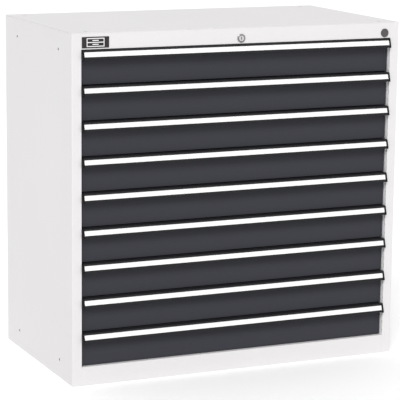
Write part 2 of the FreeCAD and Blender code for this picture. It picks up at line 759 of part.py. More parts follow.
def guide_outline(sketch):
    """Hat section round the bar, with lugs that lie on the back sheet."""
    gap = "sizes.guide_gap"
    steel = "sizes.sheet_steel"
    inside = f"(sizes.bar_width / 2 + {gap})"
    outside = f"({inside} + {steel})"
    lug = f"({outside} + sizes.guide_lug)"
    front = f"({BAR_FACE} - {gap} - {steel})"
    corners = [
        (lug, BACK_SHEET),
        (lug, f"({BACK_SHEET} - {steel})"),
        (outside, f"({BACK_SHEET} - {steel})"),
        (outside, front),
        (f"-{outside}", front),
        (f"-{outside}", f"({BACK_SHEET} - {steel})"),
        (f"-{lug}", f"({BACK_SHEET} - {steel})"),
        (f"-{lug}", BACK_SHEET),
        (f"-{inside}", BACK_SHEET),
        (f"-{inside}", f"({front} + {steel})"),
        (inside, f"({front} + {steel})"),
        (inside, BACK_SHEET),
    ]
    add_outline(sketch, corners)


def locking_bar_guides():
    """Three hat brackets that guide the bar on the back sheet, and a bearing plate for the lock's shaft."""
    pieces = []
    for drawer in GUIDED_DRAWERS:
        guide = new_body(f"bar_guide_{drawer}")
        plan = new_sketch(guide, "plan", "XY_Plane")
        guide_outline(plan)
        add_pad(guide, "hat", plan, "sizes.guide_height")
        place(guide, up=f"{slot_foot(drawer)} + sizes.finger_height - sizes.guide_height - sizes.catch_gap")
        pieces.append(guide)
    bearing = new_body("shaft_bearing")
    profile = new_sketch(bearing, "profile", "YZ_Plane")
    steel = "sizes.sheet_steel"
    near = f"({FRONT} + sizes.bearing_setback)"
    corners = [
        (near, f"({ROOF} - sizes.bearing_drop)"),
        (f"({near} + {steel})", f"({ROOF} - sizes.bearing_drop)"),
        (f"({near} + {steel})", f"({ROOF} - {steel})"),
        (f"({near} + sizes.stile_return)", f"({ROOF} - {steel})"),
        (f"({near} + sizes.stile_return)", ROOF),
        (near, ROOF),
    ]
    add_outline(profile, corners)
    add_pad(bearing, "plate", profile, "2 * sizes.bearing_half_width", symmetric=True)
    hole = new_sketch(bearing, "hole_circle", "XZ_Plane")
    add_circle(hole, ("0", "sizes.lock_height"), "sizes.shaft_radius + sizes.bore_gap")
    add_pocket(bearing, "hole", hole, symmetric=True)
    gather("locking_bar_guides", pieces + [bearing])


def blanking_plug():
    """Domed push-in plug that closes the spare lock hole."""
    body = new_body("blanking_plug")
    corners = [
        ("0", "-sizes.plug_head"),
        ("(sizes.lock_flange_radius - sizes.plug_bevel)", "-sizes.plug_head"),
        ("sizes.lock_flange_radius", "-sizes.plug_head / 2"),
        ("sizes.lock_flange_radius", "0"),
        ("sizes.lock_body_radius", "0"),
        ("sizes.lock_body_radius", "sizes.plug_body_length"),
        ("0", "sizes.plug_body_length"),
    ]
    add_turned(body, "plug", corners)
    place(body, "sizes.plug_offset", FRONT, "sizes.lock_height")
    keep("blanking_plug", body)


def badge_plate():
    """Plain plate at the left end of the top rail."""
    plate = doc.addObject("Part::Box", "badge_blank")
    plate.setExpression("Length", "sizes.badge_width")
    plate.setExpression("Width", "sizes.badge_sheet")
    plate.setExpression("Height", "sizes.badge_height")
    doc.recompute()
    fillet = doc.addObject("Part::Fillet", "badge_plate")
    fillet.Base = plate
    radius = value("sizes.badge_corner")
    short_edges = [n for n, e in enumerate(plate.Shape.Edges, 1) if e.BoundBox.YLength > SHORT_EDGE]
    fillet.Edges = [(number, radius, radius) for number in short_edges]
    place(fillet, "-sizes.badge_left", f"{FRONT} - sizes.badge_sheet", "sizes.badge_foot")
    keep("badge_plate", fillet)


def check_and_write():
    """Stop on any failed object or bad shape, then write one file for each node."""
    doc.recompute()
    for item in doc.Objects:
        if "Invalid" in item.State or "Error" in item.State:
            raise RuntimeError(f"{item.Name} failed: {item.State}")
    for name, piece in nodes.items():
        if piece.Shape.isNull() or not piece.Shape.isValid() or piece.Shape.Volume <= 0:
            raise RuntimeError(f"{name} has a bad shape")
    os.makedirs("parts", exist_ok=True)
    for name, piece in nodes.items():
        piece.Shape.exportStep(f"parts/{name}.step")


def build():
    """Make every sub-part and write it."""
    fill_sheet()
    side_panel("side_panel_left", -1)
    side_panel("side_panel_right", 1)
    top_panel()
    base_panel()
    back_panel()
    front_top_rail()
    runner_uprights()
    lock_housing()
    lock_barrel()
    lock_shaft()
    locking_bar()
    locking_bar_guides()
    blanking_plug()
    badge_plate()
    numbers = range(1, int(value("sizes.drawer_count")) + 1)
    gather("cabinet_rails", [cabinet_rail(number, side) for number in numbers for side in (-1, 1)])
    for number in numbers:
        drawer_tray(number)
        drawer_front(number)
        drawer_handle(number)
        drawer_end_caps(number)
        mid_slides(number)
    check_and_write()


build()
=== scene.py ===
import json
import math

import bmesh
import bpy
from bpy.props import FloatProperty, FloatVectorProperty, IntProperty, PointerProperty
from mathutils import Matrix, Vector

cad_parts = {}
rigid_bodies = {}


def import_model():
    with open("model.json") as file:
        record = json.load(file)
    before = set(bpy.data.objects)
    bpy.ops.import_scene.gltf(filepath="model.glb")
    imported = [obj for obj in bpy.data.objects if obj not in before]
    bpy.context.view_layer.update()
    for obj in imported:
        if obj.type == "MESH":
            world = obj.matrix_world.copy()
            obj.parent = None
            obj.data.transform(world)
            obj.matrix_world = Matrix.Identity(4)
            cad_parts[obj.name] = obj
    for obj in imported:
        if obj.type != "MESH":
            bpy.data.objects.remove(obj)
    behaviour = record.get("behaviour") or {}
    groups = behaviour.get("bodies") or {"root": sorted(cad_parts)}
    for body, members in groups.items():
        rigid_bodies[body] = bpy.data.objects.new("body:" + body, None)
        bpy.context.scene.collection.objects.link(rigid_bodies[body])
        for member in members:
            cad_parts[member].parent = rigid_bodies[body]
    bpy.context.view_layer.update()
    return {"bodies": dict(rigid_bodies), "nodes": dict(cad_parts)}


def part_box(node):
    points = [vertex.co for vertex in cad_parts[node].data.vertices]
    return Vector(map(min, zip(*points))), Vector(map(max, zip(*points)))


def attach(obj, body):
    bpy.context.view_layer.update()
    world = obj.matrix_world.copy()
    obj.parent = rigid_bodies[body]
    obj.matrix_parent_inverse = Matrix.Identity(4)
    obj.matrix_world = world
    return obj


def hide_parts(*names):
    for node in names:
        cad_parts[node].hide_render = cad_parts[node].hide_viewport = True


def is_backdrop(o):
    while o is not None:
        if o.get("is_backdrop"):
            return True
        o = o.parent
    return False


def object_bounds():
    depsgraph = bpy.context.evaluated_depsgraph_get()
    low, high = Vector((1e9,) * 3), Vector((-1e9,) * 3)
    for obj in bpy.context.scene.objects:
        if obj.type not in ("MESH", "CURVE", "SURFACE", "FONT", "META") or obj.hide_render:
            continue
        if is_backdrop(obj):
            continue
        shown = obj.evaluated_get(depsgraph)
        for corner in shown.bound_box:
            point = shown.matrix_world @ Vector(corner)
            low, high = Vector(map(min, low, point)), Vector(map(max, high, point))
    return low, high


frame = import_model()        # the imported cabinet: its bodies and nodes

bl_info = {
    "name": "Workshop Drawer Cabinet",
    "version": (1, 0, 0),
    "blender": (4, 5, 0),
    "location": "View3D > Sidebar > Drawer Cabinet",
    "description": "Dresses a sheet-steel drawer cabinet with its finishes, labels, slotted trays and lock",
    "category": "Add Mesh",
}

MM = 0.001
WELD = 1e-6              # points nearer than this are the same corner, in metres
FLAT = 0.5               # faces that meet within this many degrees lie in one plane
DRAWERS = range(1, sum(name.startswith("drawer_") for name in frame["bodies"]) + 1)
CASING = ("top_panel", "base_panel", "back_panel", "front_top_rail")
SIDES = ("side_panel_left", "side_panel_right")


# ---------------------------------------------------------------- finishes

class Value:
    """One output of a finish's node tree, with arithmetic that adds Math nodes."""

    def __init__(self, finish, socket):
        self.finish = finish
        self.socket = socket

    def combine(self, operation, first, second):
        """A Math node on two values."""
        return self.finish.add("ShaderNodeMath", {"operation": operation}, {0: first, 1: second})

    def __add__(self, other):
        return self.combine("ADD", self, other)

    def __radd__(self, other):
        return self.combine("ADD", other, self)

    def __sub__(self, other):
        return self.combine("SUBTRACT", self, other)

    def __rsub__(self, other):
        return self.combine("SUBTRACT", other, self)

    def __mul__(self, other):
        return self.combine("MULTIPLY", self, other)

    def __rmul__(self, other):
        return self.combine("MULTIPLY", other, self)

    def __pow__(self, other):
        return self.combine("POWER", self, other)


class Finish:
    """A named material and the nodes that paint it."""

    def __init__(self, name, fixed):
        self.material = bpy.data.materials.new(name)
        self.material.use_nodes = True
        self.tree = self.material.node_tree
        self.shader = self.tree.nodes["Principled BSDF"]
        for socket, amount in fixed.items():
            self.shader.inputs[socket].default_value = amount

    def add(self, kind, settings=None, sockets=None, output=0):
        """Add one node: its settings first, then the values or links of its sockets."""
        node = self.tree.nodes.new(kind)
        for setting, choice in (settings or {}).items():
            setattr(node, setting, choice)
        for socket, entry in (sockets or {}).items():
            if isinstance(entry, Value):
                self.tree.links.new(entry.socket, node.inputs[socket])
            else:
                node.inputs[socket].default_value = entry
        return Value(self, node.outputs[output])

    def feed(self, socket, value):
        """Link a varying value to one of the shader's sockets."""
        self.tree.links.new(value.socket, self.shader.inputs[socket])

    def place(self, stretch=(1, 1, 1)):
        """The point on the piece in metres, stretched along each axis."""
        point = self.add("ShaderNodeTexCoord", output="Object")
        return self.add("ShaderNodeVectorMath", {"operation": "MULTIPLY"}, {0: point, 1: stretch})

    def axis(self, letter):
        """The point's distance along one axis, in metres."""
        return self.add("ShaderNodeSeparateXYZ", None, {0: self.place()}, letter)

    def noise(self, scale, detail, stretch=(1, 1, 1), fineness=0.55):
        """Soft noise from 0 to 1, with about this many cells to the metre."""
        sockets = {"Vector": self.place(stretch), "Scale": scale, "Detail": detail, "Roughness": fineness}
        return self.add("ShaderNodeTexNoise", None, sockets, "Fac")

    def cells(self, scale):
        """A different grey from 0 to 1 for each crystal of a surface."""
        colour = self.add("ShaderNodeTexVoronoi", None, {"Vector": self.place(), "Scale": scale}, "Color")
        return self.add("ShaderNodeSeparateColor", None, {0: colour}, "Red")

    def mix(self, factor, first, second):
        """Blend two colours, through the colour sockets of a Mix node."""
        factor_socket, first_socket, second_socket, result = 0, 6, 7, 2
        colours = {factor_socket: factor, first_socket: (*first, 1), second_socket: (*second, 1)}
        return self.add("ShaderNodeMix", {"data_type": "RGBA"}, colours, result)

    def colour_by(self, tone, colour, darkest, lightest):
        """Colour the surface between two shades of one colour, as a tone goes from 0 to 1."""
        self.feed("Base Color", self.mix(tone, tint(colour, darkest), tint(colour, lightest)))

    def relief(self, height, strength, depth):
        """Raise the surface by a height from 0 to 1, to a depth in metres."""
        sockets = {"Height": height, "Strength": strength, "Distance": depth}
        self.feed("Normal", self.add("ShaderNodeBump", None, sockets))


def tint(colour, amount):
    """A colour made lighter or darker by a factor."""
    return tuple(min(part * amount, 1.0) for part in colour)


def powder_coat(name, colour, roughness, peel_depth, gloss=0.35):
    """Baked powder paint: a fine orange peel with a slow drift in tone and gloss."""
    finish = Finish(name, {"Specular IOR Level": gloss})
    peel = finish.noise(scale=520, detail=2.5)
    grain = finish.noise(scale=2400, detail=1.5)
    drift = finish.noise(scale=2.1, detail=3)
    finish.colour_by(drift * 0.7 + peel * 0.2 + grain * 0.1, colour, darkest=0.955, lightest=1.045)
    finish.feed("Roughness", (drift - 0.5) * 0.1 + (peel - 0.5) * 0.12 + roughness)
    finish.relief(peel * 0.7 + grain * 0.3, strength=0.35, depth=peel_depth)
    return finish.material


def zinc_plate(name, colour):
    """Zinc-plated strip: faint crystals under fine rolling lines."""
    finish = Finish(name, {"Metallic": 0.9})
    crystals = finish.cells(scale=140)
    lines = finish.noise(scale=60, detail=3, stretch=(20, 1, 20))
    finish.colour_by(crystals * 0.5 + lines * 0.5, colour, darkest=0.82, lightest=1.1)
    finish.feed("Roughness", crystals * 0.1 + lines * 0.16 + 0.26)
    finish.relief(lines, strength=0.15, depth=0.1 * MM)
    return finish.material


def extruded_metal(name, colour):
    """Dark anodised extrusion with die lines along its length."""
    finish = Finish(name, {"Metallic": 0.2, "Specular IOR Level": 0.25})
    lines = finish.noise(scale=1400, detail=2, stretch=(0.004, 1, 1))
    haze = finish.noise(scale=9, detail=2)
    finish.colour_by(lines * 0.6 + haze * 0.4, colour, darkest=0.75, lightest=1.3)
    finish.feed("Roughness", lines * 0.16 + haze * 0.08 + 0.34)
    finish.relief(lines, strength=0.2, depth=0.08 * MM)
    return finish.material


def moulded_plastic(name, colour, roughness, gloss=0.4):
    """Injection moulding with a fine spark-eroded grain."""
    finish = Finish(name, {"Specular IOR Level": gloss})
    grain = finish.noise(scale=2600, detail=2)
    flow = finish.noise(scale=45, detail=2)
    finish.colour_by(grain * 0.5 + flow * 0.5, colour, darkest=0.8, lightest=1.25)
    finish.feed("Roughness", (grain - 0.5) * 0.2 + roughness)
    finish.relief(grain, strength=0.3, depth=0.12 * MM)
    return finish.material


def label_paper(name, colour):
    """White card with a faint fibre."""
    finish = Finish(name, {"Specular IOR Level": 0.2})
    fibre = finish.noise(scale=900, detail=3, stretch=(0.4, 1, 1))
    finish.colour_by(fibre, colour, darkest=0.975, lightest=1.02)
    finish.feed("Roughness", fibre * 0.1 + 0.7)
    finish.relief(fibre, strength=0.1, depth=0.05 * MM)
    return finish.material


def clear_strip(name, clearness):
    """Clear plastic cover that shows mostly by its gloss and a faint drawing line."""
    finish = Finish(name, {"Base Color": (1, 1, 1, 1), "Specular IOR Level": 0.5})
    lines = finish.noise(scale=700, detail=1, stretch=(0.01, 1, 1))
    finish.feed("Alpha", lines * 0.05 + (1 - clearness))
    finish.feed("Roughness", lines * 0.05 + 0.06)
    return finish.material


def turned_nickel(name, colour, centre):
    """Nickel plate with the rings that a lathe leaves about the lock's axis."""
    finish = Finish(name, {"Metallic": 0.9})
    across = finish.axis("X") - centre.x
    up = finish.axis("Z") - centre.z
    radius = (across * across + up * up) ** 0.5
    turns_per_metre = 9000
    rings = finish.add("ShaderNodeMath", {"operation": "SINE"}, {0: radius * turns_per_metre}) * 0.5 + 0.5
    haze = finish.noise(scale=260, detail=3)
    finish.colour_by(haze, colour, darkest=0.8, lightest=1.12)
    finish.feed("Roughness", haze * 0.14 + rings * 0.08 + 0.2)
    finish.relief(rings, strength=0.25, depth=0.04 * MM)
    return finish.material


# ---------------------------------------------------------------- mesh work

def cad_copy(node):
    """A welded copy of a CAD node's mesh with its flat faces made whole again."""
    work = bmesh.new()
    work.from_mesh(frame["nodes"][node].data)
    bmesh.ops.remove_doubles(work, verts=work.verts, dist=WELD)
    bmesh.ops.dissolve_limit(work, angle_limit=math.radians(FLAT), verts=work.verts, edges=work.edges)
    return work


def islands(work):
    """The separate solids of a mesh, each as its own mesh; an edge that two solids share divides them."""
    waiting = set(work.faces)
    found = []
    while waiting:
        reached = [next(iter(waiting))]
        group = set(reached)
        while reached:
            for edge in reached.pop().edges:
                if not edge.is_manifold:
                    continue
                for other in edge.link_faces:
                    if other not in group:
                        group.add(other)
                        reached.append(other)
        waiting -= group
        found.append(sorted({vert for face in group for vert in face.verts}, key=lambda v: v.index))
    return [extract(work, verts) for verts in found]


def extract(work, verts):
    """A new mesh that holds only these vertices and their faces."""
    keep = {vert.index for vert in verts}
    piece = work.copy()
    piece.verts.ensure_lookup_table()
    bmesh.ops.delete(piece, geom=[v for v in piece.verts if v.index not in keep], context="VERTS")
    return piece


def mesh_box(work):
    """Lowest and highest corner of a mesh."""
    columns = list(zip(*(vert.co for vert in work.verts)))
    return Vector([min(column) for column in columns]), Vector([max(column) for column in columns])


def axis_centre(node):
    """The centre of a round node in X and Z, on its axis along Y, and its radius."""
    low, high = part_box(node)
    return Vector(((low.x + high.x) / 2, 0, (low.z + high.z) / 2)), (high.x - low.x) / 2


def depth_of(work):
    """How far a mesh reaches from front to back."""
    low, high = mesh_box(work)
    return high.y - low.y


def join(target, source):
    """Add one mesh to another."""
    spare = bpy.data.meshes.new("spare")
    source.to_mesh(spare)
    target.from_mesh(spare)
    bpy.data.meshes.remove(spare)
    source.free()
    return target


def soften(work, width, angle=35.0, segments=2):
    """Round every edge that is sharper than an angle in degrees."""
    limit = math.radians(angle)
    edges = [edge for edge in work.edges if edge.is_manifold and edge.calc_face_angle(0) > limit]
    bmesh.ops.bevel(work, geom=edges, offset=width, segments=segments, affect="EDGES", clamp_overlap=True)
    bmesh.ops.remove_doubles(work, verts=work.verts, dist=2 * WELD)
    bmesh.ops.dissolve_degenerate(work, edges=work.edges, dist=2 * WELD)
    return work


def to_mesh(work, name, smooth_angle=40.0):
    """Store a mesh with its smooth faces and its sharp edges marked."""
    bmesh.ops.recalc_face_normals(work, faces=work.faces)
    for face in work.faces:
        face.smooth = True
    mesh = bpy.data.meshes.new(name)
    work.to_mesh(mesh)
    work.free()
    mesh.set_sharp_from_angle(angle=math.radians(smooth_angle))
    return mesh


def add_piece(name, mesh, material, body, rise=0.0, stands_for=()):
    """Put a mesh in the scene, riding on a body, with its finish and the nodes that it stands for."""
    piece = bpy.data.objects.new(name, mesh)
    bpy.context.collection.objects.link(piece)
    if not mesh.materials:
        mesh.materials.append(material)
    piece.location.z = rise
    even_shading = piece.modifiers.new("even_shading", "WEIGHTED_NORMAL")
    even_shading.keep_sharp = True
    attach(piece, body)
    if stands_for:
        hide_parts(*stands_for)
    return piece


def paint(node, material):
    """Give a CAD node its finish."""
    slots = frame["nodes"][node].data.materials
    slots.clear()
    slots.append(material)


def drawer_rise(number):
    """How far one drawer stands above the lowest one."""
    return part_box(f"drawer_{number}_front")[0].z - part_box("drawer_1_front")[0].z


def extrude_along_x(outline, low, high):
    """A solid bar between two X values from an outline of (Y, Z) points."""
    work = bmesh.new()
    near = [work.verts.new((low, deep, up)) for deep, up in outline]
    far = [work.verts.new((high, deep, up)) for deep, up in outline]
    count = len(outline)
    for index in range(count):
        follower = (index + 1) % count
        work.faces.new((near[index], near[follower], far[follower], far[index]))
    work.faces.new(near)
    work.faces.new(list(reversed(far)))
    bmesh.ops.recalc_face_normals(work, faces=work.faces)
    return work


def turn_about_y(outline, centre, steps=64):
    """A turned solid about an axis along Y, from (radius, distance) points round its section."""
    work = bmesh.new()
    rings = []
    for step in range(steps):
        angle = 2 * math.pi * step / steps
        ring = []
        for radius, along in outline:
            place = (radius * math.cos(angle), along, radius * math.sin(angle))
            ring.append(work.verts.new(Vector(place) + centre))
        rings.append(ring)
    count = len(outline)
    for step in range(steps):
        this, following = rings[step], rings[(step + 1) % steps]
        for index in range(count):
            after = (index + 1) % count
            work.faces.new((this[index], this[after], following[after], following[index]))
    bmesh.ops.remove_doubles(work, verts=work.verts, dist=WELD / 10)
    bmesh.ops.dissolve_degenerate(work, edges=work.edges, dist=WELD / 10)
    return work


# ---------------------------------------------------------------- settings

class CasingSettings(bpy.types.PropertyGroup):
    """Painted steel body."""

    paint_colour: FloatVectorProperty(
        name="Body Paint", description="Colour of the body's powder coat", subtype="COLOR",
        default=(0.683, 0.67, 0.676), min=0, max=1)
    paint_roughness: FloatProperty(
        name="Paint Roughness", description="How matt the body's paint is", default=0.5, min=0, max=1)
    # Painted light: the strips wear the same paint as the body, and this lighter colour stands in for the
    # light that falls on them.
    strip_colour_painted_light: FloatVectorProperty(
        name="Strip Paint", description="Colour of the slotted strips behind the stiles", subtype="COLOR",
        default=(0.95, 0.95, 0.95), min=0, max=1)
    edge_radius: FloatProperty(
        name="Edge Radius", description="Rounding of the folded sheet's cut edges", unit="LENGTH",
        default=0.4 * MM)


class DrawerSettings(bpy.types.PropertyGroup):
    """Drawer fronts, trays and slides."""

    front_colour: FloatVectorProperty(
        name="Front Paint", description="Colour of the drawer fronts", subtype="COLOR",
        default=(0.044, 0.045, 0.053), min=0, max=1)
    tray_colour: FloatVectorProperty(
        name="Tray Paint", description="Colour of the drawer trays", subtype="COLOR",
        default=(0.36, 0.37, 0.385), min=0, max=1)
    zinc_colour: FloatVectorProperty(
        name="Zinc", description="Colour of the plated slides", subtype="COLOR",
        default=(0.62, 0.63, 0.65), min=0, max=1)
    slot_pitch: FloatProperty(
        name="Slot Pitch", description="Spacing of the divider slots in the tray's walls", unit="LENGTH",
        default=17 * MM)
    slot_width: FloatProperty(
        name="Slot Width", description="Width of one divider slot", unit="LENGTH", default=2.4 * MM)
    wall_sheet: FloatProperty(
        name="Tray Sheet", description="Thickness of the tray's sheet", unit="LENGTH", default=1.2 * MM)


class HandleSettings(bpy.types.PropertyGroup):
    """Grip profile with its label channel and end caps."""

    metal_colour: FloatVectorProperty(
        name="Grip Colour", description="Colour of the anodised grip profile", subtype="COLOR",
        default=(0.014, 0.014, 0.016), min=0, max=1)
    cap_colour: FloatVectorProperty(
        name="Cap Colour", description="Colour of the moulded end caps", subtype="COLOR",
        default=(0.006, 0.006, 0.007), min=0, max=1)
    label_colour: FloatVectorProperty(
        name="Label Colour", description="Colour of the label card", subtype="COLOR",
        default=(0.86, 0.86, 0.86), min=0, max=1)
    top_depth: FloatProperty(
        name="Top Depth", description="How far the grip's top web stands forward", unit="LENGTH",
        default=15.5 * MM)
    label_top: FloatProperty(
        name="Label Top", description="Label window's upper edge below the grip's top", unit="LENGTH",
        default=5.4 * MM)
    label_bottom: FloatProperty(
        name="Label Bottom", description="Label window's lower edge below the grip's top", unit="LENGTH",
        default=18.9 * MM)
    leg: FloatProperty(
        name="Grip Leg", description="Height of the leg that is riveted to the panel", unit="LENGTH",
        default=17 * MM)
    wall: FloatProperty(
        name="Grip Wall", description="Wall thickness of the grip profile", unit="LENGTH", default=2 * MM)


class LockSettings(bpy.types.PropertyGroup):
    """Lock, blanking plug and badge."""

    # Painted shade: the flange's plating is the same nickel as the barrel's, painted darker to stand in for
    # the darker reflection on its face.
    flange_colour_painted_shade: FloatVectorProperty(
        name="Flange Nickel", description="Colour of the lock flange's plating", subtype="COLOR",
        default=(0.33, 0.32, 0.33), min=0, max=1)
    barrel_colour: FloatVectorProperty(
        name="Barrel Nickel", description="Colour of the turning barrel's plating", subtype="COLOR",
        default=(0.66, 0.65, 0.66), min=0, max=1)
    plug_colour: FloatVectorProperty(
        name="Plug Colour", description="Colour of the blanking plug", subtype="COLOR",
        default=(0.075, 0.068, 0.072), min=0, max=1)
    badge_colour: FloatVectorProperty(
        name="Badge Colour", description="Colour of the badge plate", subtype="COLOR",
        default=(0.018, 0.014, 0.016), min=0, max=1)
    turned_steps: IntProperty(
        name="Turned Steps", description="Facets round a turned part", default=64, min=16, max=256)


class StageSettings(bpy.types.PropertyGroup):
    """Camera, floor and light."""

    azimuth: FloatProperty(
        name="Azimuth", description="Camera's direction round the cabinet", subtype="ANGLE",
        default=math.radians(-24.09))
    elevation: FloatProperty(
        name="Elevation", description="Camera's height above the horizon", subtype="ANGLE",
        default=math.radians(10.83))
    roll: FloatProperty(
        name="Roll", description="Camera's turn about its own axis", subtype="ANGLE",
        default=math.radians(0.57))
    distance: FloatProperty(
        name="Distance", description="Camera's distance from its target", unit="LENGTH", default=5.839)
    lens: FloatProperty(
        name="Lens", description="Camera's focal length in millimetres", default=174.1)
    sky: FloatProperty(
        name="Sky Light", description="Strength of the even studio light", default=0.8)
    key: FloatProperty(
        name="Key Light", description="Strength of the soft light from the upper front left", default=1.7)


# ---------------------------------------------------------------- casing

class CABINET_OT_casing(bpy.types.Operator):
    """Dress the folded sheet-steel body with softened edges and powder coat"""

    bl_idname = "cabinet.casing"
    bl_label = "Casing"

    def execute(self, context):
        look = context.scene.casing_look
        coat = powder_coat("body_powder_coat", look.paint_colour, look.paint_roughness, 0.12 * MM)
        for node in CASING:
            mesh = to_mesh(soften(cad_copy(node), look.edge_radius), f"{node}_sheet")
            add_piece(f"{node}_sheet", mesh, coat, "cabinet", stands_for=[node])
        # The slotted strips get a lighter copy of the body's powder coat: painted light that stands in for
        # the light falling on them.
        pale = powder_coat("strip_coat_painted_light", look.strip_colour_painted_light, look.paint_roughness, 0.08 * MM)
        for node in SIDES:
            strip, skin = sorted(islands(cad_copy(node)), key=depth_of)
            skin_mesh = to_mesh(soften(skin, look.edge_radius), f"{node}_sheet")
            strip_mesh = to_mesh(soften(strip, look.edge_radius / 2), f"{node}_strip")
            add_piece(f"{node}_sheet", skin_mesh, coat, "cabinet", stands_for=[node])
            add_piece(f"{node}_strip", strip_mesh, pale, "cabinet")
        paint("runner_uprights", coat)
        return {"FINISHED"}


class CABINET_OT_fixed_runners(bpy.types.Operator):
    """Plate the fixed rails, the locking bar, its guides and the lock shaft"""

    bl_idname = "cabinet.fixed_runners"
    bl_label = "Fixed Runners and Locking Bar"

    def execute(self, context):
        zinc = zinc_plate("zinc_plate", context.scene.drawer_look.zinc_colour)
        for node in ("cabinet_rails", "locking_bar", "locking_bar_guides", "lock_shaft"):
            paint(node, zinc)
        return {"FINISHED"}


# ---------------------------------------------------------------- drawers

def tray_perimeter(low, high, pitch, slot):
    """Points round the tray's walls, with which of the spans that follow them are slots."""
    corners = [(low.x, low.y), (high.x, low.y), (high.x, high.y), (low.x, high.y)]
    points = []
    spans = []
    for start, end in zip(corners, corners[1:] + corners[:1]):
        start, end = Vector(start), Vector(end)
        length = (end - start).length
        along = (end - start) / length
        count = int((length - pitch) / pitch)
        first = (length - (count - 1) * pitch) / 2
        points.append(start)
        spans.append(False)
        for index in range(count):
            middle = first + index * pitch
            points.append(start + along * (middle - slot / 2))
            spans.append(True)
            points.append(start + along * (middle + slot / 2))
            spans.append(False)
    return points, spans


def slotted_tray(low, high, look):
    """A folded tray with divider slots in its four walls and a hem along its top edge."""
    points, spans = tray_perimeter(low, high, look.slot_pitch, look.slot_width)
    middle = (Vector((low.x, low.y)) + Vector((high.x, high.y))) / 2
    half = Vector((high.x, high.y)) - middle
    hem, below_slots, above_slots = 6 * MM, 16 * MM, 12 * MM
    rows = [
        (low.z, 0.0),
        (low.z + below_slots, 0.0),
        (high.z - above_slots, 0.0),
        (high.z, 0.0),
        (high.z, hem),
        (high.z - hem, hem),
    ]
    slotted_row = 1
    work = bmesh.new()
    rings = []
    for up, inset in rows:
        reach = half - Vector((inset, inset))
        ring = []
        for point in points:
            away = point - middle
            across = max(-reach.x, min(reach.x, away.x))
            deep = max(-reach.y, min(reach.y, away.y))
            ring.append(work.verts.new((middle.x + across, middle.y + deep, up)))
        rings.append(ring)
    count = len(points)
    for row, (lower, upper) in enumerate(zip(rings, rings[1:])):
        for index in range(count):
            if row == slotted_row and spans[index]:
                continue
            after = (index + 1) % count
            work.faces.new((lower[index], lower[after], upper[after], upper[index]))
    work.faces.new(list(reversed(rings[0])))
    bmesh.ops.remove_doubles(work, verts=work.verts, dist=WELD)
    bmesh.ops.recalc_face_normals(work, faces=work.faces)
    bmesh.ops.solidify(work, geom=work.faces[:], thickness=look.wall_sheet)
    return work


class CABINET_OT_trays(bpy.types.Operator):
    """Build the slotted trays with their slide channels and rear catches"""

    bl_idname = "cabinet.trays"
    bl_label = "Drawer Trays"

    def execute(self, context):
        look = context.scene.drawer_look
        coat = powder_coat("tray_powder_coat", look.tray_colour, 0.45, 0.06 * MM)
        zinc = bpy.data.materials["zinc_plate"]
        solids = islands(cad_copy("drawer_1_tray"))
        left_channel, shell, catch, right_channel = sorted(solids, key=tray_order)
        low, high = mesh_box(shell)
        shell.free()
        shell_mesh = to_mesh(slotted_tray(low, high, look), "tray_shell")
        radius = 0.3 * MM
        channels = join(soften(left_channel, radius), soften(right_channel, radius))
        channel_mesh = to_mesh(channels, "tray_channels")
        catch_mesh = to_mesh(soften(catch, radius), "tray_catch")
        for number in DRAWERS:
            rise = drawer_rise(number)
            body = f"drawer_{number}"
            stands_for = [f"{body}_tray"]
            add_piece(f"{body}_tray_shell", shell_mesh, coat, body, rise, stands_for)
            add_piece(f"{body}_tray_channels", channel_mesh, zinc, body, rise)
            add_piece(f"{body}_tray_catch", catch_mesh, zinc, body, rise)
        return {"FINISHED"}


def tray_order(work):
    """Sorts a tray's solids as left channel, shell, catch, right channel."""
    low, high = mesh_box(work)
    near_middle = 100 * MM
    middle = (low.x + high.x) / 2
    if abs(middle) > near_middle:
        return 10 * middle
    return -1 if high.x > near_middle else 1


class CABINET_OT_fronts(bpy.types.Operator):
    """Build the pressed drawer fronts"""

    bl_idname = "cabinet.fronts"
    bl_label = "Drawer Fronts"

    def execute(self, context):
        look = context.scene.drawer_look
        coat = powder_coat("front_powder_coat", look.front_colour, 0.5, 0.08 * MM, gloss=0.05)
        mesh = to_mesh(soften(cad_copy("drawer_1_front"), 0.5 * MM, segments=3), "drawer_front_sheet")
        for number in DRAWERS:
            node = f"drawer_{number}_front"
            rise = drawer_rise(number)
            add_piece(f"{node}_sheet", mesh, coat, f"drawer_{number}", rise, [node])
        return {"FINISHED"}


def roller(centre, radius, width, steps):
    """A slide roller: a crowned rim, a dished web and a rivet head, turned about an axis along X."""
    half = width / 2
    crown, rim_round, rim_edge = 0.3 * MM, 0.8 * MM, 1.0 * MM
    rivet, rivet_foot = 2.6 * MM, 3.2 * MM
    rivet_sink, web_sink, shoulder_sink = 1.2 * MM, 1.8 * MM, 0.2 * MM
    web_edge, shoulder = radius - 4 * MM, radius - 3.4 * MM
    near_side = [
        (0.0, -half + rivet_sink),
        (rivet, -half + rivet_sink),
        (rivet_foot, -half + web_sink),
        (web_edge, -half + web_sink),
        (shoulder, -half + shoulder_sink),
        (radius - rim_edge, -half),
        (radius - crown, -half + rim_round),
    ]
    far_side = [(reach, -along) for reach, along in reversed(near_side)]
    outline = near_side + [(radius, 0.0)] + far_side
    work = turn_about_y(outline, Vector(), steps)
    bmesh.ops.transform(work, matrix=Matrix.Rotation(math.pi / 2, 4, "Z"), verts=work.verts)
    bmesh.ops.translate(work, vec=centre, verts=work.verts)
    return work


